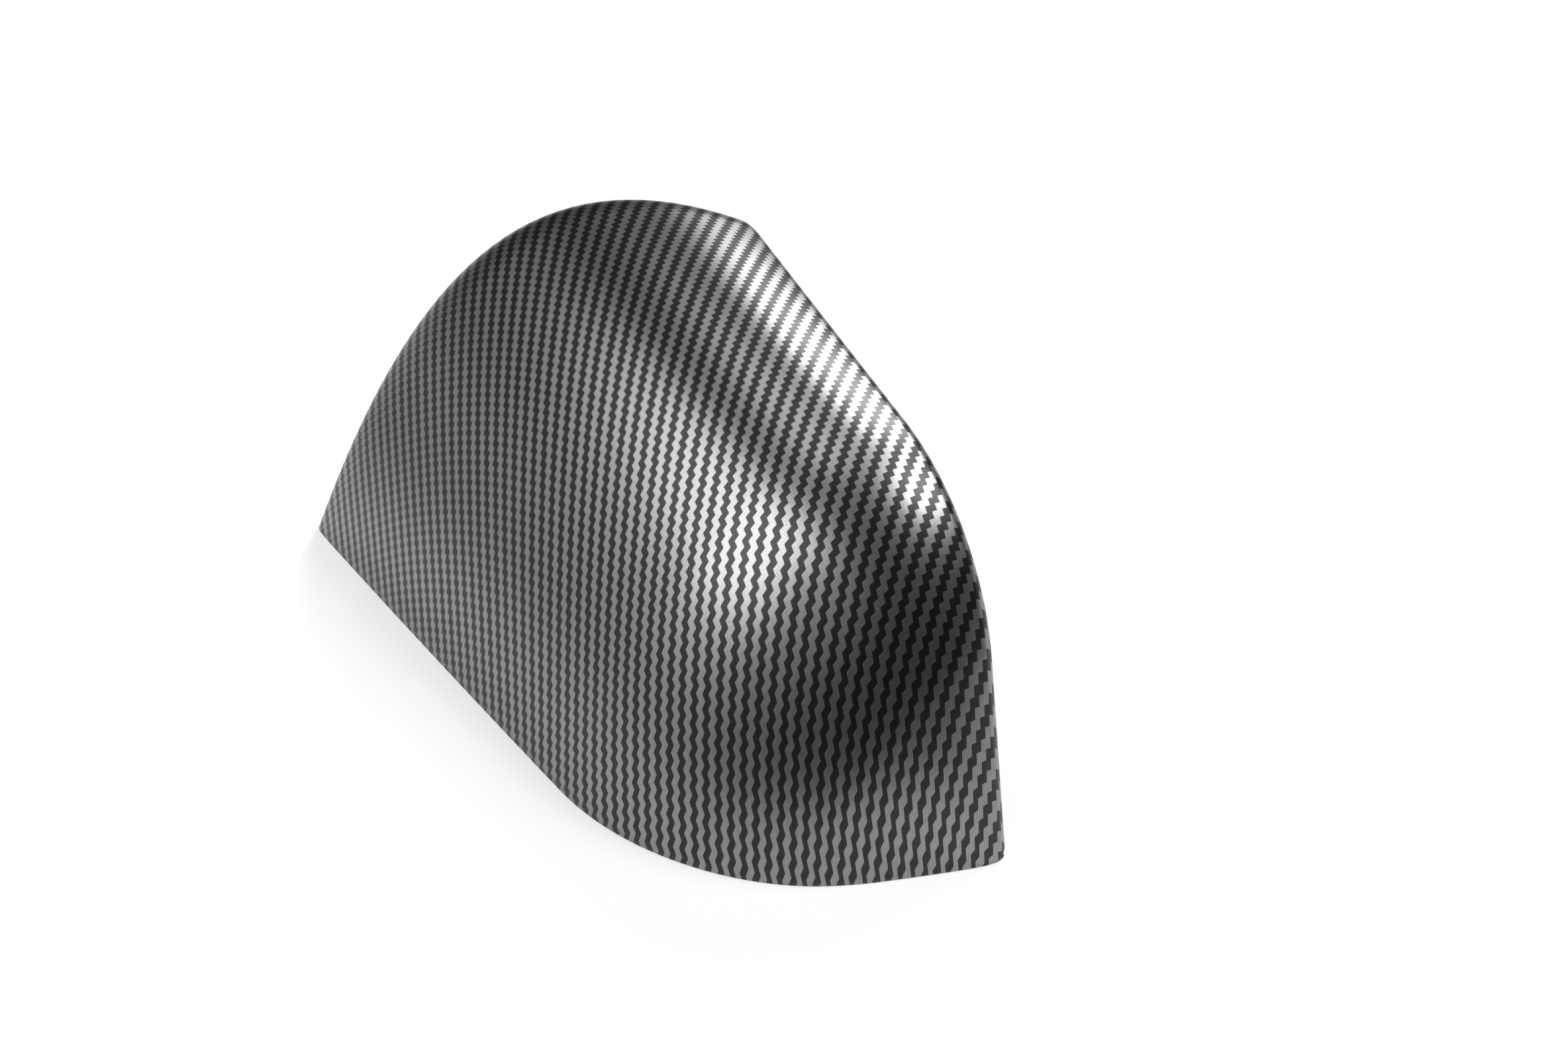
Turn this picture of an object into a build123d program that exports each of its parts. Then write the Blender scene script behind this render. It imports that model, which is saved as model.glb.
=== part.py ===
from build123d import *
from functools import lru_cache
import math
import os

# Stick-on wing mirror cover, all lengths in millimetres.
# The layout axes are u, along the rim from the outboard tip to the inboard end,
# v, forwards from the plane of the rim, and z, up from the cut lower edge.

# Rim outline, in the plane v = 0
RIM_SPAN = 208.0
SHOULDER_IN = 29.5
SHOULDER_UP = 85.0
SHOULDER_RADIUS = 60.0
PEAK_IN = 156.0
PEAK_UP = 116.5
PEAK_RADIUS = 16.0

# Foot outline, in a base plane below the cut edge
CHEEK_IN = 28.5
CHEEK_OUT = 88.0
CHEEK_RADIUS = 92.0
NOSE_IN = 244.0
NOSE_OUT = 141.5
NOSE_RADIUS = 7.0
TRIM_DEPTH = 19.0
TRIM_ALLOWANCE = 6.0

# Swelling of the skin between rim and foot
SHOULDER_SWELL = 3.2
PEAK_SWELL = 28.7
SWELL_HEIGHT = 73.0
BELLY_REACH = 0.51
PEAK_LEAN = 0.40
BELLY_FULLNESS = 1.27

# Moulded wall, rounded crease and return lip
WALL = 2.2
LIP_WIDTH = 8.0
LIP_CORNER_RADIUS = 3.0
LIP_TRUING = 0.02
CREASE_REACH = 3.6
CREASE_FULLNESS = 0.72

# Strips of adhesive tape under the skin, placed along the sides of the foot outline
TAPE_WIDTH = 6.0
TAPE_THICKNESS = 1.0
BOND_GAP = 0.1
TAPE_ABOVE_CUT = 2.0
INBOARD_BAND = 12.0
FRONT_BAND = 26.0
OUTBOARD_BAND = 40.0
INBOARD_TAPE_OFF_NOSE = 27.0
INBOARD_TAPE_OFF_RIM = 16.0
FRONT_TAPE_OFF_NOSE = 36.0
FRONT_TAPE_OFF_CHEEK = 38.0
OUTBOARD_TAPE_OFF_CHEEK = 20.0
OUTBOARD_TAPE_OFF_RIM = 16.0
TOP_TAPE_OFF_RIM = 9.0
TOP_TAPE_OFF_SHOULDER = 34.0
TOP_TAPE_OFF_PEAK = 14.0

# Sections of the lofted skins, closer together round the nose corner
FRONT_STEPS = 18
NOSE_STEPS = 12
INBOARD_STEPS = 10
NOSE_SHARE = 0.05
PROBE = 0.0005


def smooth_step(x):
    """Rise from 0 to 1 with level ends."""
    x = min(max(x, 0.0), 1.0)
    return x * x * (3.0 - 2.0 * x)


def blend_through(x, knots, values):
    """Monotone cubic through a few knots, each inner slope the harmonic mean of its two chords."""
    spans = [b - a for a, b in zip(knots, knots[1:])]
    chords = [(b - a) / h for a, b, h in zip(values, values[1:], spans)]
    inner = [2.0 * a * b / (a + b) for a, b in zip(chords, chords[1:])]
    slopes = [chords[0], *inner, chords[-1]]
    i = max(k for k in range(len(spans)) if k == 0 or x >= knots[k])
    h = spans[i]
    t = (x - knots[i]) / h
    low = values[i] * (1 + 2 * t) * (1 - t) ** 2 + slopes[i] * h * t * (1 - t) ** 2
    high = values[i + 1] * t * t * (3 - 2 * t) + slopes[i + 1] * h * t * t * (t - 1)
    return low + high


class Outline:
    """Polygon with two rounded corners, walked by its share of length."""

    def __init__(self, points, radii):
        self.wire = FilletPolyline(*points, radius=radii)
        self.length = self.wire.length
        self.knots = [0.0, *self.corner_shares(points, radii), 1.0]

    def corner_shares(self, points, radii):
        """Share of the length at the middle of each rounded corner."""
        walked = 0.0
        shares = []
        for before, corner, after, radius in zip(points, points[1:], points[2:], radii):
            side = Vector(*corner) - Vector(*before)
            turn = math.radians(side.get_angle(Vector(*after) - Vector(*corner)))
            tangent = radius * math.tan(turn / 2)
            walked += side.length - tangent + radius * turn / 2
            shares.append(walked / self.length)
            walked += radius * turn / 2 - tangent
        return shares

    def at(self, share):
        """Point of the outline at a share of its length."""
        return self.wire.position_at(share * self.length, position_mode=PositionMode.LENGTH)

    def outward(self, share):
        """Unit vector square to the outline, away from its inside."""
        along = self.wire.tangent_at(share * self.length, position_mode=PositionMode.LENGTH)
        return Vector(-along.Y, along.X)


def inset_points(points, width):
    """Corners of an open polygon whose sides have moved inwards, with its ends still at base level."""
    lines = []
    for start, end in zip(points, points[1:]):
        along = (Vector(*end) - Vector(*start)).normalized()
        lines.append((Vector(*start) + Vector(along.Y, -along.X) * width, along))
    base = (Vector(*points[0]), Vector(1, 0))
    ordered = [base, *lines, base]
    corners = []
    for (p, d), (q, e) in zip(ordered, ordered[1:]):
        reach = ((q - p).X * e.Y - (q - p).Y * e.X) / (d.X * e.Y - d.Y * e.X)
        corner = p + d * reach
        corners.append((corner.X, corner.Y))
    return corners


RIM_POINTS = [
    (0.0, -TRIM_DEPTH),
    (SHOULDER_IN, SHOULDER_UP),
    (PEAK_IN, PEAK_UP),
    (RIM_SPAN, -TRIM_DEPTH),
]
FOOT_POINTS = [
    (0.0, 0.0),
    (CHEEK_IN, CHEEK_OUT),
    (NOSE_IN, NOSE_OUT),
    (RIM_SPAN, 0.0),
]
rim = Outline(RIM_POINTS, [SHOULDER_RADIUS, PEAK_RADIUS])
foot = Outline(FOOT_POINTS, [CHEEK_RADIUS, NOSE_RADIUS])
lip = Outline(inset_points(RIM_POINTS, LIP_WIDTH), [SHOULDER_RADIUS - LIP_WIDTH, LIP_CORNER_RADIUS])
SHOULDER_AT = rim.knots[1]
PEAK_AT = rim.knots[2]


@lru_cache(maxsize=None)
def section(s):
    """Lip edge, rim corner, belly control point and foot of the wall at a share s of the rim."""
    r = rim.at(s)
    e = lip.at(blend_through(s, rim.knots, lip.knots))
    f = foot.at(blend_through(s, rim.knots, foot.knots))
    inboard = smooth_step((s - SHOULDER_AT) / (PEAK_AT - SHOULDER_AT))
    swell = SHOULDER_SWELL + (PEAK_SWELL - SHOULDER_SWELL) * inboard
    crown = r + rim.outward(s) * swell * smooth_step((r.Y + TRIM_DEPTH) / SWELL_HEIGHT)
    lean = crown.X + PEAK_LEAN * inboard * (f.X - crown.X)
    belly = Vector(lean, BELLY_REACH * f.Y, crown.Y)
    return Vector(e.X, 0, e.Y), Vector(r.X, 0, r.Y), belly, Vector(f.X, f.Y, -TRIM_DEPTH)


def conic(start, control, end, fullness, t):
    """Point of a rational quadratic curve."""
    a = (1 - t) ** 2
    b = 2 * fullness * t * (1 - t)
    c = t * t
    return (start * a + control * b + end * c) / (a + b + c)


def crease_ends(s):
    """Points where the rounded crease meets the lip and the belly."""
    edge, corner, belly, _ = section(s)
    return [corner + (side - corner).normalized() * CREASE_REACH for side in (edge, belly)]


def lip_point(s, t):
    """Point of the return lip, from its edge to the crease."""
    edge = section(s)[0]
    return edge + (crease_ends(s)[0] - edge) * t


def belly_point(s, t):
    """Point of the main skin, from the crease to the foot."""
    _, _, belly, end = section(s)
    return conic(crease_ends(s)[1], belly, end, BELLY_FULLNESS, t)


def normal(point_of, s, t):
    """Unit vector square to a skin, away from the hollow."""
    along = point_of(s + PROBE, t) - point_of(s - PROBE, t)
    down = point_of(s, t + PROBE) - point_of(s, t - PROBE)
    return along.cross(down).normalized()


def miter(a, b):
    """Move that carries a corner one unit off both of the planes that meet there."""
    return (a + b) / (1 + a.dot(b))


def skin_wire(s, depth):
    """Section at a depth under the outer skin: straight lip, crease conic and belly conic."""
    edge, corner, belly, end = section(s)
    lip_end, crease_end = crease_ends(s)
    back = normal(lip_point, s, 0.5)
    top = normal(belly_point, s, 0.0)
    front = normal(belly_point, s, 1.0)
    edge -= back * depth
    lip_end -= back * depth
    corner -= miter(back, top) * depth
    crease_end -= top * depth
    belly -= miter(top, front) * depth
    end -= front * depth
    return Wire([
        Edge.make_line(edge, lip_end),
        Edge.make_bezier(lip_end, corner, crease_end, weights=[1, CREASE_FULLNESS, 1]),
        Edge.make_bezier(crease_end, belly, end, weights=[1, BELLY_FULLNESS, 1]),
    ])


def spread(start, end, steps):
    """Evenly spaced values, both ends included."""
    return [start + (end - start) * i / steps for i in range(steps + 1)]


def runs():
    """Shares of the rim with a section, in three runs: front, nose corner and inboard side."""
    first = (TRIM_DEPTH - TRIM_ALLOWANCE) / rim.length
    before = PEAK_AT - NOSE_SHARE
    after = PEAK_AT + NOSE_SHARE
    return [
        spread(first, before, FRONT_STEPS),
        spread(before, after, NOSE_STEPS),
        spread(after, 1 - first, INBOARD_STEPS),
    ]


def skin(depth):
    """Lofted skin at a depth under the outer one, a loft for each run of sections."""
    lofts = [Shell.make_loft([skin_wire(s, depth) for s in run]) for run in runs()]
    return Shell([face for loft in lofts for face in loft.faces()])


def free_edges(surface):
    """Edges that belong to one face only."""
    sides = [edge for face in surface.faces() for edge in face.edges()]
    return [edge for edge in surface.edges() if sum(edge.is_same(side) for side in sides) == 1]


def layer(outer_depth, inner_depth):
    """Solid between two skins, closed by ruled strips along their free edges."""
    outer = skin(outer_depth)
    inner = skin(inner_depth)
    partners = free_edges(inner)
    strips = []
    for edge in free_edges(outer):
        partner = min(partners, key=lambda other: (other @ 0.5 - edge @ 0.5).length)
        strips.append(Face.make_surface_from_curves(edge, partner))
    return Solid(Shell([*outer.faces(), *inner.faces(), *strips]))


def cover_shell():
    """Moulded shell: skin, rounded crease and return lip in one wall, trued flat at the cut edge and lip."""
    wall = layer(0, WALL).split(Plane.XY, keep=Keep.TOP)
    lip_back = Plane((0, LIP_TRUING, 0), z_dir=(0, 1, 0))
    return wall.split(lip_back, keep=Keep.TOP)


def edge_block(start, end, off_start, off_end, band):
    """Block over one side of the foot outline, as high as a tape strip, that stops short of both ends."""
    along = Vector(*end) - Vector(*start)
    inward = along.cross(Vector(0, 0, 1))
    corner = Vector(*start) + along.normalized() * off_start + Vector(0, 0, TAPE_ABOVE_CUT)
    length = along.length - off_start - off_end
    place = Plane(corner, x_dir=inward, z_dir=(0, 0, 1))
    return Solid.make_box(band, length, TAPE_WIDTH, place)


def top_block():
    """Block across the crown, a strip's width ahead of the crease."""
    start = SHOULDER_IN + TOP_TAPE_OFF_SHOULDER
    length = PEAK_IN - TOP_TAPE_OFF_PEAK - start
    place = Plane((start, TOP_TAPE_OFF_RIM, SHOULDER_UP / 2))
    return Solid.make_box(length, TAPE_WIDTH, PEAK_UP, place)


def tape_strips():
    """Strips cut from a thin layer under the wall, three along the cut edge and one ahead of the crease."""
    bond = WALL + BOND_GAP
    tape = layer(bond, bond + TAPE_THICKNESS)
    tip, cheek, nose, end = FOOT_POINTS
    blocks = {
        "tape_inboard": edge_block(nose, end, INBOARD_TAPE_OFF_NOSE, INBOARD_TAPE_OFF_RIM, INBOARD_BAND),
        "tape_front": edge_block(cheek, nose, FRONT_TAPE_OFF_CHEEK, FRONT_TAPE_OFF_NOSE, FRONT_BAND),
        "tape_outboard": edge_block(tip, cheek, OUTBOARD_TAPE_OFF_RIM, OUTBOARD_TAPE_OFF_CHEEK, OUTBOARD_BAND),
        "tape_top": top_block(),
    }
    return {name: (tape & block).solid() for name, block in blocks.items()}


def main():
    os.makedirs("parts", exist_ok=True)
    shell = cover_shell()
    pieces = {"cover_shell": shell, **tape_strips()}
    middle = shell.bounding_box().center()
    stand = Location((middle.X, middle.Y, 0), (0, 0, 180))
    for name, piece in pieces.items():
        export_step(stand * piece, f"parts/{name}.step")


if __name__ == "__main__":
    main()
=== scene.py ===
import math

import bpy
import numpy as np
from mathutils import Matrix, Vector


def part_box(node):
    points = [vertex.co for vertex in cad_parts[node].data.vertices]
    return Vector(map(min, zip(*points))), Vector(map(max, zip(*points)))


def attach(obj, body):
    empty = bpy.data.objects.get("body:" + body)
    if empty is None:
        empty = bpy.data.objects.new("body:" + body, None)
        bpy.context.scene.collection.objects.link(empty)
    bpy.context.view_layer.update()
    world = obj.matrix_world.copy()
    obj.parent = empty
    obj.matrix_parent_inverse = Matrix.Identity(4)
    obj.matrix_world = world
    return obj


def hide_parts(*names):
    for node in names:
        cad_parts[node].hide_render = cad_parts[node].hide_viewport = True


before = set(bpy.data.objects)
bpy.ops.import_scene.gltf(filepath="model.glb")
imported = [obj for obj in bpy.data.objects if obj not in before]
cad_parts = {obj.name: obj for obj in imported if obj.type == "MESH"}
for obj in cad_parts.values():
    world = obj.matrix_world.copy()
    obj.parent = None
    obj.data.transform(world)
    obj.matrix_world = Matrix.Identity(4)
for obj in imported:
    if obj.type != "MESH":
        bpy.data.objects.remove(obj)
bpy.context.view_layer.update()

# Stick-on wing mirror cover. The shape is worked out in millimetres, in layout axes:
# u along the rim from the outboard tip, v forwards from the plane of the rim, z up from the cut edge.
MM = 0.001

# Rim outline, in the plane v = 0
RIM_SPAN = 208.0
SHOULDER_IN = 29.5
SHOULDER_UP = 85.0
SHOULDER_RADIUS = 60.0
PEAK_IN = 156.0
PEAK_UP = 116.5
PEAK_RADIUS = 16.0

# Foot outline, in a base plane below the cut edge
CHEEK_IN = 28.5
CHEEK_OUT = 88.0
CHEEK_RADIUS = 92.0
NOSE_IN = 244.0
NOSE_OUT = 141.5
NOSE_RADIUS = 7.0
TRIM_DEPTH = 19.0

# Swelling of the skin between rim and foot
SHOULDER_SWELL = 3.2
PEAK_SWELL = 28.7
SWELL_HEIGHT = 73.0
BELLY_REACH = 0.51
PEAK_LEAN = 0.40
BELLY_FULLNESS = 1.27

# Moulded wall, rounded crease and return lip
WALL = 2.2
LIP_WIDTH = 8.0
LIP_CORNER_RADIUS = 3.0
CREASE_REACH = 3.6
CREASE_FULLNESS = 0.72
EDGE_ROUND = 0.4
EDGE_SQUARENESS = 0.45
LIP_START = EDGE_ROUND / (LIP_WIDTH - CREASE_REACH)

# Grid of the skins: rows along the rim, crowded round the nose, and columns from the lip edge to the cut edge
ROWS = 288
NOSE_SHARE = 0.06
NOSE_CROWDING = 2.2
LIP_COLUMNS = 8
CREASE_COLUMNS = 16
BELLY_COLUMNS = 72
EDGE_COLUMNS = 8
LEAST_SHARE = 0.1

# Search for the tips and the cut: shares of the rim that are searched, rise of a tip over the rounded edge,
# numbers of samples, step of a slope and what counts as the same length
TIP_SEARCH = (0.02, 0.98)
TIP_RISE = 0.12
TRIM_SAMPLES = 900
ROW_SAMPLES = 4000
PROBE = 0.0005
SAME = 1e-6

# Printed twill film: width of one tow before stretch, turn on the cover, shares of the extra length that it
# takes up, its slip forwards from the rim for each square millimetre, and where that slip starts
TOW_WIDTH = 1.35
FILM_TURN = math.radians(1.2)
TAKEN_UP_ALONG = 0.272
TAKEN_UP_DOWN = 0.386
FILM_SLIP = 0.0013
SLIP_FROM = 85.0

# Tows, in tow widths: repeat of the twill, softness of the ends of tows, wander of their sides and its scale,
# fine strands in a tow, step from strand to strand in the noise that breaks them, number and depth of the
# breaks, and spread of a strand's brightness
TOWS_IN_REPEAT = 4.0
TOW_END_SOFTNESS = 0.03
FRAY = 0.05
FRAY_SCALE = 0.8
STRANDS_PER_TOW = 5.0
STRAND_STEP = 3.7
BREAKS_PER_TOW = 3.0
BREAK_DEPTH = 0.7
STRAND_SPREAD = 0.8

# Stage: light of the studio above its white horizon, heights of that horizon as sines, and the floor's own
# whiteness, from near to far, with the distances in metres
STUDIO_DIM = 0.02
HORIZON_LOW = 0.0
HORIZON_HIGH = 0.12
FLOOR_WHITE = 0.42
FLOOR_NEAR = 0.08
FLOOR_FAR = 0.4
FLOOR_REACH = 6.0
FLOOR_COLOUR = (0.86, 0.86, 0.87)
FLOOR_ROUGHNESS = 0.8
WHITE = (1.0, 1.0, 1.0)

# Dark screens outside the view, in metres: middle of the near edge, way that they face away as an angle,
# depth on the floor, height behind, and width; their greys, roughness and lift off the floor
CAMERA_SCREEN = ((0.276, 0.258), math.radians(-26.6), 0.32, 0.45, 1.40)
FRONT_SCREEN = ((-0.300, -0.190), math.radians(-86.8), 0.34, 0.03, 0.90)
CAMERA_SCREEN_GREY = 0.01
FRONT_SCREEN_GREY = 0.25
SCREEN_ROUGHNESS = 0.9
SCREEN_LIFT = 0.001

# Soft lamps, in metres and watts: place, width and height, and power; and the spot that they are turned to
LAMPS = {
    "front_lamp": ((0.107, -1.224, 0.860), (1.28, 0.95), 23.0),
    "back_lamp": ((-0.492, 0.852, 1.132), (0.46, 0.35), 15.5),
    "side_lamp": ((0.341, 0.766, 1.244), (0.38, 0.36), 12.5),
    "top_lamp": ((-0.245, -0.089, 1.477), (0.60, 0.60), 3.2),
}
LAMP_AIM = (0.0, 0.0, 0.05)

# Camera, in millimetres in the frame of the part
LENS = 26.0
SENSOR = 36.0
CLIP_START = 10.0
AIM = Vector((-41.81, 82.14, 0.0))
CAMERA_PLACE = Vector((255.0, -66.6, 221.3))


def smooth_step(x):
    """Rise from 0 to 1 with level ends: 3 x squared less 2 x cubed."""
    x = np.clip(x, 0.0, 1.0)
    return x * x * (3.0 - 2.0 * x)


def unit(vectors):
    """Vectors divided by their own lengths."""
    return vectors / np.linalg.norm(vectors, axis=-1, keepdims=True)


def blend_through(x, knots, values):
    """Monotone cubic through a few knots, each inner slope the harmonic mean of its two chords."""
    spans = np.diff(knots)
    chords = np.diff(values) / spans
    inner = 2.0 * chords[:-1] * chords[1:] / (chords[:-1] + chords[1:])
    slopes = np.r_[chords[0], inner, chords[-1]]
    i = np.clip(np.searchsorted(knots, x, side="right") - 1, 0, len(spans) - 1)
    h = spans[i]
    t = (x - knots[i]) / h
    low = values[i] * (1 + 2 * t) * (1 - t) ** 2 + slopes[i] * h * t * (1 - t) ** 2
    high = values[i + 1] * t * t * (3 - 2 * t) + slopes[i + 1] * h * t * t * (t - 1)
    return low + high


class Outline:
    """Open polygon with rounded corners, walked by its share of length.

    It is a row of runs, straight and curved in turn, each with a start, a heading and a curvature c.
    The point a length l along a run lies l sinc(c l / 2) from the start, at the heading plus c l / 2."""

    def __init__(self, corners, radii):
        sides = np.diff(np.array(corners), axis=0)
        lengths = np.linalg.norm(sides, axis=1)
        headings = np.arctan2(sides[:, 1], sides[:, 0])
        turns = np.diff(headings)
        cuts = np.array(radii) * np.tan(np.abs(turns) / 2)
        arcs = np.array(radii) * np.abs(turns)
        straights = lengths - np.r_[0, cuts] - np.r_[cuts, 0]
        runs = np.r_[np.stack([straights[:-1], arcs], 1).ravel(), straights[-1]]
        self.heading = np.repeat(headings, 2)[:-1]
        self.curvature = np.r_[np.stack([0 * turns, turns / arcs], 1).ravel(), 0]
        self.reach = np.r_[0, np.cumsum(runs)]
        self.length = self.reach[-1]
        self.knots = np.r_[0, (self.reach[1:-1:2] + arcs / 2) / self.length, 1]
        chords = self.chord(np.arange(len(runs)), runs)
        self.start = np.array(corners[0]) + np.r_[np.zeros((1, 2)), np.cumsum(chords, axis=0)[:-1]]

    def chord(self, run, walked):
        """Vector from the start of a run to the point that far along it."""
        half = self.curvature[run] * walked / 2
        reach = walked * np.sinc(half / np.pi)
        way = self.heading[run] + half
        return np.stack([reach * np.cos(way), reach * np.sin(way)], -1)

    def place(self, share):
        """Run that a share of the length falls in, and the length walked along it."""
        along = np.asarray(share) * self.length
        run = np.clip(np.searchsorted(self.reach, along, side="right") - 1, 0, len(self.heading) - 1)
        return run, along - self.reach[run]

    def at(self, share):
        """Point at a share of the length."""
        run, walked = self.place(share)
        return self.start[run] + self.chord(run, walked)

    def outward(self, share):
        """Unit vector square to the outline, to the left of the way along it."""
        run, walked = self.place(share)
        way = self.heading[run] + self.curvature[run] * walked
        return np.stack([-np.sin(way), np.cos(way)], -1)


def inset(corners, width):
    """Corners of an open polygon whose sides have moved inwards, with its ends still at base level.

    Each corner is where two neighbouring lines cross, the base line being the first and the last."""
    corners = np.array(corners)
    along = unit(np.diff(corners, axis=0))
    through = corners[:-1] + np.stack([along[:, 1], -along[:, 0]], 1) * width
    base = np.array([[1.0, 0.0]])
    p = np.r_[corners[:1], through]
    d = np.r_[base, along]
    q = np.r_[through, corners[:1]]
    e = np.r_[along, base]
    gap = q - p
    reach = (gap[:, 0] * e[:, 1] - gap[:, 1] * e[:, 0]) / (d[:, 0] * e[:, 1] - d[:, 1] * e[:, 0])
    return p + d * reach[:, None]


RIM_CORNERS = [(0.0, -TRIM_DEPTH), (SHOULDER_IN, SHOULDER_UP), (PEAK_IN, PEAK_UP), (RIM_SPAN, -TRIM_DEPTH)]
FOOT_CORNERS = [(0.0, 0.0), (CHEEK_IN, CHEEK_OUT), (NOSE_IN, NOSE_OUT), (RIM_SPAN, 0.0)]
rim = Outline(RIM_CORNERS, [SHOULDER_RADIUS, PEAK_RADIUS])
foot = Outline(FOOT_CORNERS, [CHEEK_RADIUS, NOSE_RADIUS])
lip = Outline(inset(RIM_CORNERS, LIP_WIDTH), [SHOULDER_RADIUS - LIP_WIDTH, LIP_CORNER_RADIUS])
SHOULDER_AT, PEAK_AT = rim.knots[1:3]


def section(s):
    """Lip edge, rim corner, belly control point and foot of the wall at shares s of the rim.

    The belly's control point stands over the rim by a swell that grows from shoulder to peak and fades
    towards the cut edge, and leans to the foot of the wall on the inboard side."""
    r = rim.at(s)
    e = lip.at(blend_through(s, rim.knots, lip.knots))
    f = foot.at(blend_through(s, rim.knots, foot.knots))
    inboard = smooth_step((s - SHOULDER_AT) / (PEAK_AT - SHOULDER_AT))
    swell = SHOULDER_SWELL + (PEAK_SWELL - SHOULDER_SWELL) * inboard
    lift = swell * smooth_step((r[..., 1] + TRIM_DEPTH) / SWELL_HEIGHT)
    crown = r + rim.outward(s) * lift[..., None]
    lean = crown[..., 0] + PEAK_LEAN * inboard * (f[..., 0] - crown[..., 0])
    level = np.zeros_like(s)
    edge = np.stack([e[..., 0], level, e[..., 1]], -1)
    corner = np.stack([r[..., 0], level, r[..., 1]], -1)
    belly = np.stack([lean, BELLY_REACH * f[..., 1], crown[..., 1]], -1)
    end = np.stack([f[..., 0], f[..., 1], level - TRIM_DEPTH], -1)
    return edge, corner, belly, end


def conic(start, control, end, fullness, t):
    """Rational quadratic curve: the three points weighed by (1-t)(1-t), 2 w t (1-t) and t t."""
    t = t[..., None]
    a = (1 - t) ** 2
    b = 2 * fullness * t * (1 - t)
    c = t * t
    return (start * a + control * b + end * c) / (a + b + c)


def lip_point(s, t):
    """Straight return lip, from its edge to the crease."""
    edge, corner, _, _ = section(s)
    return edge + (corner + unit(edge - corner) * CREASE_REACH - edge) * t[..., None]


def belly_point(s, t):
    """Main skin, a conic from the crease to the foot."""
    _, corner, belly, end = section(s)
    return conic(corner + unit(belly - corner) * CREASE_REACH, belly, end, BELLY_FULLNESS, t)


def normal(point_of, s, t):
    """Unit vector square to a skin, away from the hollow: the cross product of its two slopes."""
    t = np.full_like(s, t)
    along = point_of(s + PROBE, t) - point_of(s - PROBE, t)
    down = point_of(s, t + PROBE) - point_of(s, t - PROBE)
    return unit(np.cross(along, down))


def miter(a, b):
    """Move that carries a corner one unit off both of the planes that meet there."""
    return (a + b) / (1 + np.sum(a * b, axis=-1, keepdims=True))


def skin(s, t, depth):
    """Skin at a depth under the outer one, for rows s and a grid t.

    Up to 1, t runs along the lip, to 2 round the crease and to 3 down the belly. The control points of
    these three curves move in by the depth, square to the skin, and corners by a miter."""
    edge, corner, belly, end = section(s)
    lip_end = corner + unit(edge - corner) * CREASE_REACH
    crease_end = corner + unit(belly - corner) * CREASE_REACH
    back = normal(lip_point, s, 0.5)
    top = normal(belly_point, s, 0.0)
    front = normal(belly_point, s, 1.0)
    edge, lip_end, crease_end, end = (
        p - n * depth for p, n in ((edge, back), (lip_end, back), (crease_end, top), (end, front))
    )
    corner = corner - miter(back, top) * depth
    belly = belly - miter(top, front) * depth
    a, b, c, d, e, f = (p[:, None] for p in (edge, lip_end, corner, crease_end, belly, end))
    lip_part = a + (b - a) * np.clip(t, 0, 1)[..., None]
    crease_part = conic(b, c, d, CREASE_FULLNESS, np.clip(t - 1, 0, 1))
    belly_part = conic(d, e, f, BELLY_FULLNESS, np.clip(t - 2, 0, 1))
    t = t[..., None]
    return np.where(t < 1, lip_part, np.where(t < 2, crease_part, belly_part))


def tip_shares(depth):
    """Shares of the rim at the two tips, where a section's highest point comes just above the cut."""
    s = np.linspace(*TIP_SEARCH, TRIM_SAMPLES)
    t = np.broadcast_to(np.linspace(0, 3, TRIM_SAMPLES // 3), (len(s), TRIM_SAMPLES // 3))
    top = skin(s, t, depth)[..., 2].max(axis=1)
    half = len(s) // 2
    level = EDGE_ROUND + TIP_RISE
    return np.interp(level, top[:half], s[:half]), np.interp(level, top[:half:-1], s[:half:-1])


def row_shares(first, last):
    """Shares of the rim for the rows, in even steps of a summed density that is high round the nose."""
    s = np.linspace(first, last, ROW_SAMPLES)
    density = 1 + NOSE_CROWDING * np.exp(-(((s - PEAK_AT) / NOSE_SHARE) ** 2))
    walked = np.r_[0, np.cumsum((density[1:] + density[:-1]) / 2)]
    return np.interp(np.linspace(0, walked[-1], ROWS + 1), walked, s)


def column_values(s, depth):
    """Grid of t for the rows, from the lip edge to the cut, the crease at the same columns in every row.

    A row starts and stops where its height crosses that of the rounded edge, in proportion between samples,
    and its lip, crease and belly each keep a least share of it."""
    t = np.linspace(0, 3, TRIM_SAMPLES)
    z = skin(s, np.broadcast_to(t, (len(s), TRIM_SAMPLES)), depth)[..., 2] - EDGE_ROUND
    row = np.arange(len(s))
    above = z > 0
    i = above.argmax(axis=1)
    j = TRIM_SAMPLES - 1 - above[:, ::-1].argmax(axis=1)
    step = t[1]
    rise = z[row, i] - z[row, i - 1]
    fall = z[row, j] - z[row, np.minimum(j + 1, TRIM_SAMPLES - 1)]
    start = np.where(i > 0, t[i] - step * z[row, i] / np.where(i > 0, rise, 1), 0)
    start = np.maximum(start, LIP_START)
    stop = t[j] + step * z[row, j] / fall
    margin = LEAST_SHARE * (stop - start)
    crease_start = np.maximum(1, start + margin)
    crease_stop = np.clip(2, crease_start + margin, stop - margin)
    a = np.linspace(0, 1, LIP_COLUMNS + 1)
    b = np.linspace(0, 1, CREASE_COLUMNS + 1)[1:]
    c = np.linspace(0, 1, BELLY_COLUMNS + 1)[1:]
    start, crease_start, crease_stop, stop = (x[:, None] for x in (start, crease_start, crease_stop, stop))
    return np.hstack([
        start + (crease_start - start) * a,
        crease_start + (crease_stop - crease_start) * b,
        crease_stop + (stop - crease_stop) * c,
    ])


def trimmed_skin(depth):
    """Grid of points of one skin above the cut, its rows and its grid of t."""
    s = row_shares(*tip_shares(depth))
    t = column_values(s, depth)
    return skin(s, t, depth), s, t


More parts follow.
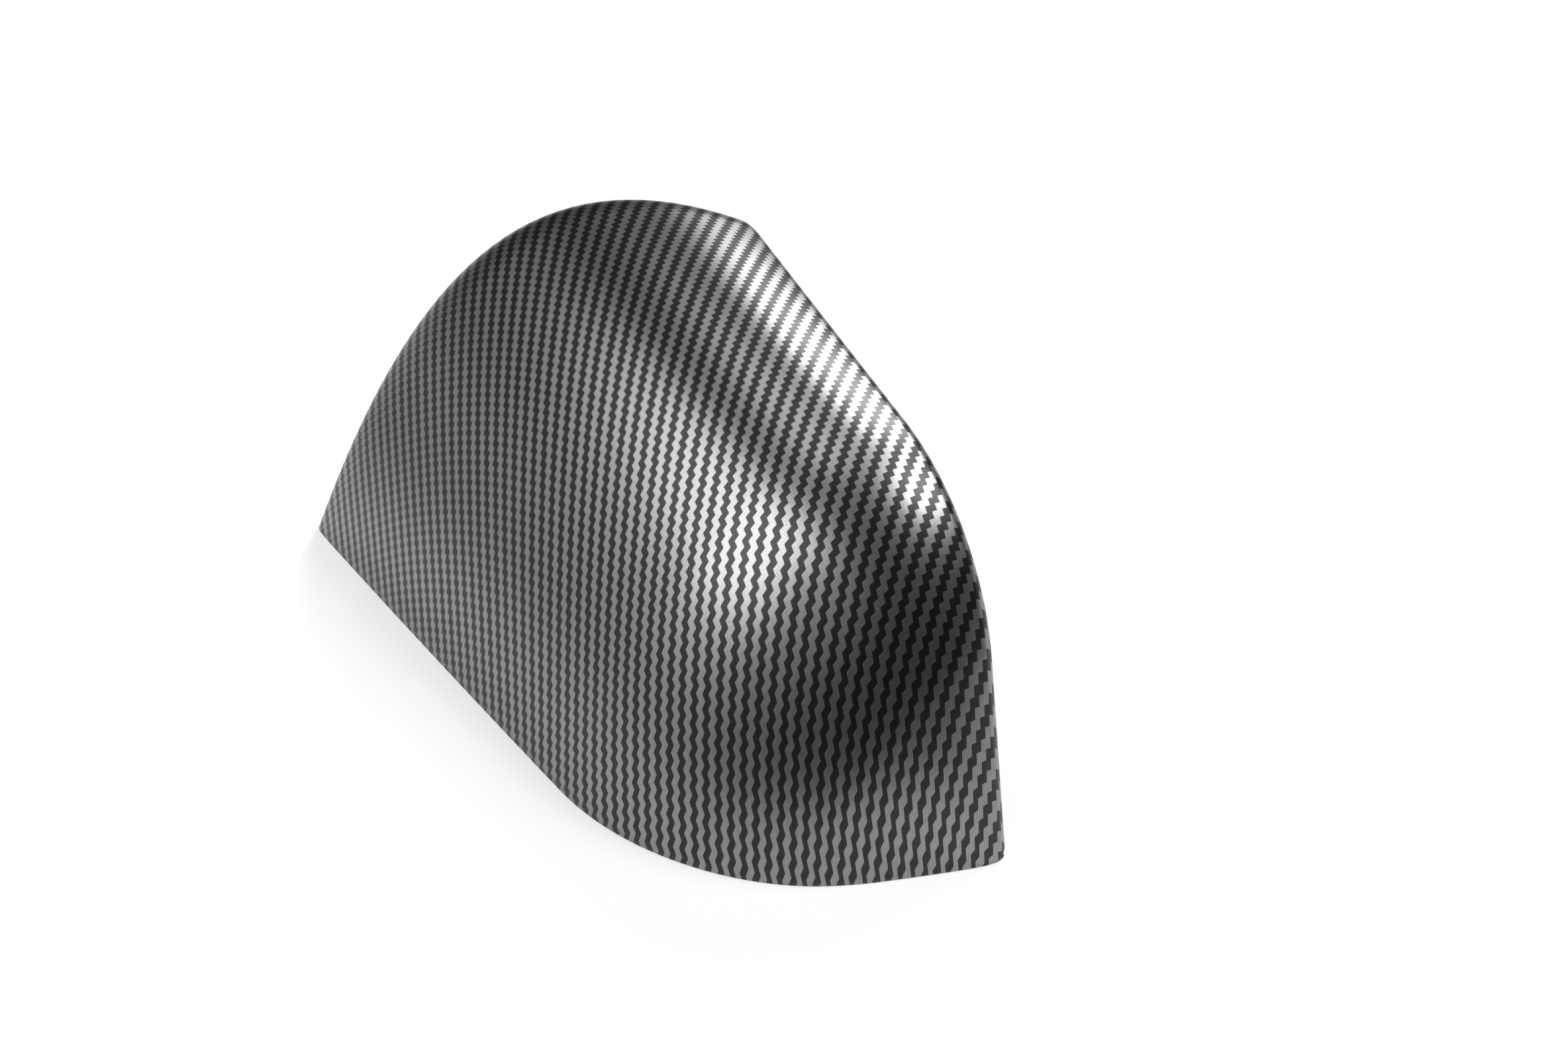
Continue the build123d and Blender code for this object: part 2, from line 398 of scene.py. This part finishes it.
def film_layout(grid):
    """Place of each point of a skin on the flat film, in tow widths, for a film drawn down over the mould.

    A film laid from above keeps its plan position. Where the skin is longer than its plan, the film takes
    up a share of the extra length: along the rim, measured from the peak, and down each row, from the
    crease on. Round the crease and over the lip it takes up all of it. It also slips forwards from the rim
    by the square of its distance along u from where the slip starts, and lies a little turned."""
    crease_end = LIP_COLUMNS + CREASE_COLUMNS
    plan = grid[..., :2]
    rim_line = grid[:, LIP_COLUMNS + CREASE_COLUMNS // 2]
    rim_length = np.r_[0, np.cumsum(np.linalg.norm(np.diff(rim_line, axis=0), axis=1))]
    peak = rim_line[:, 2].argmax()
    rim_plan = plan[:, crease_end, 0]
    extra_along = rim_plan[peak] + rim_length - rim_length[peak] - rim_plan
    start = plan[:, crease_end:crease_end + 1]
    way = unit(plan[:, -1:] - start)
    steps = np.linalg.norm(np.diff(grid, axis=1), axis=2)
    row_length = np.hstack([np.zeros((len(grid), 1)), np.cumsum(steps, axis=1)])
    row_length = row_length - row_length[:, crease_end:crease_end + 1]
    extra_down = row_length - np.sum((plan - start) * way, axis=2)
    share = np.where(np.arange(grid.shape[1]) < crease_end, 1.0, TAKEN_UP_DOWN)
    film = plan + way * (share * extra_down)[..., None]
    film[..., 0] += TAKEN_UP_ALONG * extra_along[:, None]
    film[..., 1] -= FILM_SLIP * (plan[..., 0] - SLIP_FROM) ** 2
    across = film[..., 1] * math.cos(FILM_TURN) - film[..., 0] * math.sin(FILM_TURN)
    along = -film[..., 0] * math.cos(FILM_TURN) - film[..., 1] * math.sin(FILM_TURN)
    return np.stack([across, along], -1) / TOW_WIDTH


def border(grid, steps_in=0):
    """Points round a grid, on its edge or some steps in from it.

    They go along the lip side, over one tip, back along the cut side and over the other tip."""
    last = -1 - steps_in
    return np.concatenate([grid[:-1, steps_in], grid[last, :-1], grid[:0:-1, last], grid[steps_in, :0:-1]])


def rolled_edge(outer, inner, away):
    """Edge of the wall from the outer to the inner skin: a half turn whose reach is a low power of its
    sine, so that it is flat with small rounded corners. Both ends lie on the skins and are left out."""
    angle = np.linspace(0, np.pi, EDGE_COLUMNS + 1)[1:-1, None]
    across = (1 - np.cos(angle)) / 2
    reach = EDGE_ROUND * np.sin(angle) ** EDGE_SQUARENESS
    return outer[:, None] + (inner - outer)[:, None] * across + away[:, None] * reach


def quads(index):
    """Four-cornered faces of a grid of vertex numbers."""
    return np.stack([index[:-1, :-1], index[1:, :-1], index[1:, 1:], index[:-1, 1:]], -1).reshape(-1, 4)


def surface(name, points, faces, film, finishes, finish_of_face):
    """Mesh object of four-cornered faces, with the place on the flat film as its UV map."""
    mesh = bpy.data.meshes.new(name)
    mesh.vertices.add(len(points))
    mesh.vertices.foreach_set("co", points.astype(np.float32).ravel())
    mesh.loops.add(faces.size)
    mesh.loops.foreach_set("vertex_index", faces.astype(np.int32).ravel())
    mesh.polygons.add(len(faces))
    mesh.polygons.foreach_set("loop_start", np.arange(0, faces.size, 4, dtype=np.int32))
    mesh.polygons.foreach_set("material_index", finish_of_face.astype(np.int32))
    mesh.update(calc_edges=True)
    mesh.shade_smooth()
    layout = mesh.uv_layers.new(name="film")
    layout.data.foreach_set("uv", film[faces.ravel()].astype(np.float32).ravel())
    for finish in finishes:
        mesh.materials.append(finish)
    mesh.validate()
    piece = bpy.data.objects.new(name, mesh)
    bpy.context.scene.collection.objects.link(piece)
    return piece


def moulded_shell(printed, bare):
    """Shell of the cover: outer and inner skin on the same grid, joined round their edges.

    The edge rolls away from the crease along the lip, and downwards along the cut. The film runs on over it
    at the rate at which it reaches the edge. Layout axes are turned half round to stand in the frame."""
    outer, s, t = trimmed_skin(0.0)
    inner, _, _ = trimmed_skin(WALL)
    film = film_layout(outer)
    edge, corner, _, _ = section(s)
    down = np.array([0.0, 0.0, -1.0])
    away = np.broadcast_to(down, outer.shape).copy()
    on_lip = t[:, 0] <= LIP_START + SAME
    away[on_lip, 0] = unit(edge - corner)[on_lip]
    roll = rolled_edge(border(outer), border(inner), border(away))
    last_step = np.linalg.norm(border(outer) - border(outer, 1), axis=1, keepdims=True)
    onward = (border(film) - border(film, 1)) / last_step
    walked = np.linspace(0, WALL, EDGE_COLUMNS + 1)[1:-1]
    roll_film = border(film)[:, None] + onward[:, None] * walked[:, None]
    size = outer.shape[0] * outer.shape[1]
    outer_index = np.arange(size).reshape(outer.shape[:2])
    inner_index = outer_index + size
    roll_index = 2 * size + np.arange(roll.shape[0] * roll.shape[1]).reshape(roll.shape[:2])
    ring = np.hstack([border(outer_index)[:, None], roll_index, border(inner_index)[:, None]])
    ring = np.vstack([ring, ring[:1]])
    skins = [quads(outer_index), quads(inner_index)[:, ::-1], quads(ring)[:, ::-1]]
    points = np.concatenate([outer.reshape(-1, 3), inner.reshape(-1, 3), roll.reshape(-1, 3)])
    flat = np.concatenate([film.reshape(-1, 2), film.reshape(-1, 2), roll_film.reshape(-1, 2)])
    finish_of_face = np.repeat([0, 1, 0], [len(faces) for faces in skins])
    middle = (points.min(axis=0) + points.max(axis=0)) / 2
    node_low, node_high = (np.array(end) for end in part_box("cover_shell"))
    stand = (node_low + node_high) / 2
    placed = np.stack([
        stand[0] + (middle[0] - points[:, 0]) * MM,
        stand[1] + (middle[1] - points[:, 1]) * MM,
        points[:, 2] * MM,
    ], -1)
    return surface("moulded_shell", placed, np.concatenate(skins), flat, [printed, bare], finish_of_face)


# Colours of the finishes, linear, and how far the silver ink is metallic
SILVER_STRAND = (0.380, 0.380, 0.394)
SILVER_GAP = (0.108, 0.108, 0.113)
SILVER_METAL = 0.95
BLACK_TOW = (0.0033, 0.0033, 0.0038)
BARE_BLACK = (0.007, 0.007, 0.008)
FAINT_PRINT = (0.012, 0.012, 0.013)
RELEASE_RED = (0.10, 0.006, 0.010)
RELEASE_DARK = (0.045, 0.003, 0.006)

# Grain of the finishes: the part of a noise that is used, least and most roughness, gloss of the lacquer,
# scales of grain, waves, patches and creases, and strength and height in metres of the relief
NOISE_SPREAD = (0.3, 0.7)
LACQUER_ROUGHNESS = (0.34, 0.38)
LACQUER_GLOSS = 0.35
LACQUER_GRAIN = 3.0
LACQUER_WAVES = 0.9
LACQUER_RELIEF = (0.02, 0.0004)
INSIDE_ROUGHNESS = (0.42, 0.55)
INSIDE_GRAIN = 2.2
INSIDE_RELIEF = (0.06, 0.0003)
STRIP_ROUGHNESS = (0.22, 0.4)
STRIP_PATCHES = 120.0
PATCH_SPREAD = (0.35, 0.65)
STRIP_CREASES = 55.0
CREASE_BEND = 6.0
STRIP_RELIEF = (0.15, 0.0004)


class Wiring:
    """Short hand for the nodes of one tree: each call adds a node and links what it is given."""

    def __init__(self, tree):
        self.tree = tree

    def feed(self, socket, value):
        """Link an output socket, or set a plain value."""
        if isinstance(value, bpy.types.NodeSocket):
            self.tree.links.new(value, socket)
        else:
            socket.default_value = value

    def node(self, kind, inputs=(), **settings):
        """Node with its settings made and its inputs fed."""
        made = self.tree.nodes.new(kind)
        for name, value in settings.items():
            setattr(made, name, value)
        for name, value in dict(inputs).items():
            self.feed(made.inputs[name], value)
        return made

    def math(self, operation, a, b=0.0, c=0.0):
        """One step of arithmetic."""
        return self.node("ShaderNodeMath", {0: a, 1: b, 2: c}, operation=operation).outputs[0]

    def ramp(self, value, low, high, to_low=0.0, to_high=1.0):
        """Value carried in proportion from one range to another, and held at its ends."""
        inputs = {"Value": value, "From Min": low, "From Max": high, "To Min": to_low, "To Max": to_high}
        return self.node("ShaderNodeMapRange", inputs).outputs[0]

    def mix(self, factor, a, b):
        """Colour between two colours."""
        made = self.node("ShaderNodeMix", data_type="RGBA")
        for socket, value in ((made.inputs[0], factor), (made.inputs[6], a), (made.inputs[7], b)):
            self.feed(socket, value)
        return made.outputs[2]

    def noise(self, vector, scale, detail=2.0, roughness=0.5):
        """Smooth noise, with finer noise added for each step of detail."""
        inputs = {"Vector": vector, "Scale": scale, "Detail": detail, "Roughness": roughness}
        return self.node("ShaderNodeTexNoise", inputs).outputs[0]

    def relief(self, height, strength, distance):
        """Normal of a surface that a height raises."""
        inputs = {"Height": height, "Strength": strength, "Distance": distance}
        return self.node("ShaderNodeBump", inputs).outputs[0]


def rgba(colour):
    """Colour with full cover."""
    return (*colour, 1.0)


def new_group(name, inputs, outputs):
    """Empty node group with float or vector sockets, its wiring, and its two ends."""
    tree = bpy.data.node_groups.new(name, "ShaderNodeTree")
    for socket, kind, value in inputs:
        made = tree.interface.new_socket(socket, in_out="INPUT", socket_type=kind)
        if value is not None:
            made.default_value = value
    for socket, kind in outputs:
        tree.interface.new_socket(socket, in_out="OUTPUT", socket_type=kind)
    wires = Wiring(tree)
    return tree, wires, wires.node("NodeGroupInput"), wires.node("NodeGroupOutput")


def twill_group():
    """Two over, two under twill, and the fine strands in its tows.

    A tow along the film's second axis shows where that axis, less the number of the tow, falls in the middle
    half of every four tow widths. Strands are fine waves across a tow, broken by noise along it."""
    tree, wires, given, result = new_group(
        "twill_weave",
        [
            ("Film", "NodeSocketVector", None),
            ("Strands", "NodeSocketFloat", STRANDS_PER_TOW),
            ("Fray", "NodeSocketFloat", FRAY),
        ],
        [("Silver", "NodeSocketFloat"), ("Strand", "NodeSocketFloat")],
    )
    film = wires.node("ShaderNodeSeparateXYZ", {0: given.outputs["Film"]})
    fray = wires.math("SUBTRACT", wires.noise(given.outputs["Film"], FRAY_SCALE), 0.5)
    fray = wires.math("MULTIPLY", fray, given.outputs["Fray"])
    p = wires.math("ADD", film.outputs[0], fray)
    q = wires.math("SUBTRACT", film.outputs[1], fray)
    tow = wires.math("FLOOR", p)
    along = wires.math("FLOORED_MODULO", wires.math("SUBTRACT", q, tow), TOWS_IN_REPEAT)
    middle = wires.math("ABSOLUTE", wires.math("SUBTRACT", along, TOWS_IN_REPEAT / 2))
    silver = wires.ramp(middle, 1 + TOW_END_SOFTNESS, 1 - TOW_END_SOFTNESS)
    across = wires.math("MULTIPLY", p, given.outputs["Strands"])
    lane = wires.math("MULTIPLY", wires.math("FLOOR", across), STRAND_STEP)
    wave = wires.math("COSINE", wires.math("MULTIPLY", across, 2 * math.pi))
    cell = wires.node("ShaderNodeCombineXYZ", {0: lane, 1: wires.math("MULTIPLY", q, BREAKS_PER_TOW)})
    breaks = wires.math("SUBTRACT", wires.noise(cell.outputs[0], 1.0, 0.0), 0.5)
    broken = wires.math("MULTIPLY_ADD", breaks, BREAK_DEPTH, wave)
    strand = wires.ramp(broken, -STRAND_SPREAD, STRAND_SPREAD)
    wires.feed(result.inputs["Silver"], silver)
    wires.feed(result.inputs["Strand"], strand)
    return tree


def new_material(name):
    """Empty node material with its Principled shader, and its wiring."""
    material = bpy.data.materials.new(name)
    material.use_nodes = True
    tree = material.node_tree
    tree.nodes.clear()
    wires = Wiring(tree)
    shader = wires.node("ShaderNodeBsdfPrincipled")
    output = wires.node("ShaderNodeOutputMaterial")
    wires.feed(output.inputs["Surface"], shader.outputs[0])
    return material, wires, shader


def weave_on(wires, twill):
    """Place on the flat film, and the masks of the twill there."""
    film = wires.node("ShaderNodeUVMap", uv_map="film").outputs[0]
    weave = wires.node("ShaderNodeGroup", {"Film": film}, node_tree=twill)
    return film, weave.outputs


def twill_print(twill):
    """Satin lacquer over a printed twill film: metallic silver tows with bright strands on black ones."""
    material, wires, shader = new_material("printed_twill_film")
    film, weave = weave_on(wires, twill)
    tone = wires.mix(weave["Strand"], rgba(SILVER_GAP), rgba(SILVER_STRAND))
    wires.feed(shader.inputs["Base Color"], wires.mix(weave["Silver"], rgba(BLACK_TOW), tone))
    wires.feed(shader.inputs["Metallic"], wires.math("MULTIPLY", weave["Silver"], SILVER_METAL))
    grain = wires.noise(film, LACQUER_GRAIN, 3.0)
    wires.feed(shader.inputs["Roughness"], wires.ramp(grain, *NOISE_SPREAD, *LACQUER_ROUGHNESS))
    shader.inputs["Specular IOR Level"].default_value = LACQUER_GLOSS
    waves = wires.noise(film, LACQUER_WAVES)
    wires.feed(shader.inputs["Normal"], wires.relief(waves, *LACQUER_RELIEF))
    return material


def bare_inside(twill):
    """Near black satin plastic on the hollow side, where the print shows through faintly."""
    material, wires, shader = new_material("bare_inside_plastic")
    film, weave = weave_on(wires, twill)
    colour = wires.mix(weave["Silver"], rgba(BARE_BLACK), rgba(FAINT_PRINT))
    wires.feed(shader.inputs["Base Color"], colour)
    grain = wires.noise(film, INSIDE_GRAIN, 4.0, 0.6)
    wires.feed(shader.inputs["Roughness"], wires.ramp(grain, *NOISE_SPREAD, *INSIDE_ROUGHNESS))
    wires.feed(shader.inputs["Normal"], wires.relief(grain, *INSIDE_RELIEF))
    return material


def release_film():
    """Dark red film over the adhesive strips, patchy in tone and gloss, with faint creases across it."""
    material, wires, shader = new_material("release_film")
    place = wires.node("ShaderNodeTexCoord").outputs["Object"]
    patch = wires.noise(place, STRIP_PATCHES, 4.0, 0.6)
    tone = wires.mix(wires.ramp(patch, *PATCH_SPREAD), rgba(RELEASE_DARK), rgba(RELEASE_RED))
    wires.feed(shader.inputs["Base Color"], tone)
    wires.feed(shader.inputs["Roughness"], wires.ramp(patch, *NOISE_SPREAD, *STRIP_ROUGHNESS))
    folds = {"Vector": place, "Scale": STRIP_CREASES, "Distortion": CREASE_BEND, "Detail": 3.0}
    creases = wires.node("ShaderNodeTexWave", folds).outputs[1]
    wires.feed(shader.inputs["Normal"], wires.relief(creases, *STRIP_RELIEF))
    return material


twill = twill_group()
shell = moulded_shell(twill_print(twill), bare_inside(twill))
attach(shell, "root")
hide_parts("cover_shell")

strip_film = release_film()
for name in ("tape_inboard", "tape_front", "tape_outboard", "tape_top"):
    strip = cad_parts[name]
    strip.data.materials.clear()
    strip.data.materials.append(strip_film)


def stage_piece(name, points, faces, material):
    """Object of plain faces with one material."""
    mesh = bpy.data.meshes.new(name)
    mesh.from_pydata(points, [], faces)
    mesh.materials.append(material)
    piece = bpy.data.objects.new(name, mesh)
    bpy.context.scene.collection.objects.link(piece)
    return piece


def white_stage():
    """Wide white floor under the cover: one square.

    Near the cover it takes the lamps' light and keeps the shadow. With distance it brightens to plain white
    for what sees it directly, by reflection or through a clear piece."""
    material, wires, shader = new_material("white_floor")
    shader.inputs["Base Color"].default_value = rgba(FLOOR_COLOUR)
    shader.inputs["Roughness"].default_value = FLOOR_ROUGHNESS
    shader.inputs["Specular IOR Level"].default_value = 0.0
    place = wires.node("ShaderNodeTexCoord").outputs["Object"]
    away = wires.node("ShaderNodeVectorMath", {0: place}, operation="LENGTH").outputs["Value"]
    far = wires.ramp(away, FLOOR_NEAR, FLOOR_FAR, FLOOR_WHITE)
    ray = wires.node("ShaderNodeLightPath").outputs
    direct = wires.math("MAXIMUM", ray["Is Camera Ray"], ray["Is Glossy Ray"])
    direct = wires.math("MAXIMUM", direct, ray["Is Transmission Ray"])
    seen = wires.math("MULTIPLY", far, direct)
    glow = wires.node("ShaderNodeEmission", {"Color": rgba(WHITE), "Strength": 1.0})
    blend = wires.node("ShaderNodeMixShader", {0: seen, 1: shader.outputs[0], 2: glow.outputs[0]})
    wires.feed(material.node_tree.nodes["Material Output"].inputs["Surface"], blend.outputs[0])
    corners = [(x * FLOOR_REACH, y * FLOOR_REACH, 0) for x, y in ((-1, -1), (1, -1), (1, 1), (-1, 1))]
    floor = stage_piece("floor", corners, [(0, 1, 2, 3)], material)


def dark_screen(name, grey, place, turn, depth, height, width):
    """Dark screen that only reflections see, to keep the light of the floor off the sides that face it.

    It is a bent strip, flat on the floor and then upright, carried along a straight line."""
    material, _, shader = new_material(name)
    shader.inputs["Base Color"].default_value = rgba((grey, grey, grey))
    shader.inputs["Roughness"].default_value = SCREEN_ROUGHNESS
    away = np.array([math.cos(turn), math.sin(turn)])
    across = np.array([-away[1], away[0]])
    profile = np.array([(0.0, SCREEN_LIFT), (depth, SCREEN_LIFT), (depth, height)])
    ends = np.array([width / 2, -width / 2])
    flat = np.array(place) + profile[:, None, :1] * away + ends[:, None] * across
    up = np.broadcast_to(profile[:, None, 1:], (*flat.shape[:2], 1))
    points = np.concatenate([flat, up], axis=2).reshape(-1, 3)
    faces = quads(np.arange(len(points)).reshape(flat.shape[:2]))
    screen = stage_piece(name, points.tolist(), faces.tolist(), material)
    screen.visible_camera = screen.visible_diffuse = screen.visible_shadow = False


def studio_world():
    """Studio backdrop: plain white for what sees it directly or through a clear piece.

    A reflection sees it white round the horizon and dim above, as a ramp of the sine of the height. It adds
    next to no light of its own."""
    world = bpy.data.worlds.new("studio")
    bpy.context.scene.world = world
    world.use_nodes = True
    wires = Wiring(world.node_tree)
    way = wires.node("ShaderNodeTexCoord").outputs["Generated"]
    height = wires.node("ShaderNodeSeparateXYZ", {0: way}).outputs[2]
    ray = wires.node("ShaderNodeLightPath").outputs
    direct = wires.math("MAXIMUM", ray["Is Camera Ray"], ray["Is Transmission Ray"])
    band = wires.ramp(height, HORIZON_LOW, HORIZON_HIGH, 1.0, STUDIO_DIM)
    mirrored = wires.math("MULTIPLY", band, ray["Is Glossy Ray"])
    seen = wires.math("MAXIMUM", direct, mirrored)
    light = world.node_tree.nodes["Background"]
    light.inputs["Color"].default_value = rgba(WHITE)
    wires.feed(light.inputs["Strength"], wires.math("MAXIMUM", seen, STUDIO_DIM))


def aimed(name, device, place, aim):
    """Object for a lamp or a camera at a place in metres, turned to the aim."""
    holder = bpy.data.objects.new(name, device)
    holder.location = place
    holder.rotation_euler = (aim - place).to_track_quat("-Z", "Y").to_euler()
    bpy.context.scene.collection.objects.link(holder)
    return holder


def soft_lamp(name, place, spread, power):
    """Rectangular area lamp, turned to the cover."""
    lamp = bpy.data.lights.new(name, "AREA")
    lamp.shape = "RECTANGLE"
    lamp.size, lamp.size_y = spread
    lamp.energy = power
    aimed(name, lamp, Vector(place), Vector(LAMP_AIM))


def photo_camera():
    """Camera at the photograph's viewing angle."""
    camera = bpy.data.cameras.new("camera")
    camera.lens = LENS
    camera.sensor_width = SENSOR
    camera.clip_start = CLIP_START * MM
    bpy.context.scene.camera = aimed("camera", camera, CAMERA_PLACE * MM, AIM * MM)


white_stage()
dark_screen("camera_screen", CAMERA_SCREEN_GREY, *CAMERA_SCREEN)
dark_screen("front_screen", FRONT_SCREEN_GREY, *FRONT_SCREEN)
studio_world()
for name, lamp_sizes in LAMPS.items():
    soft_lamp(name, *lamp_sizes)
photo_camera()
bpy.context.scene.view_settings.view_transform = "Standard"
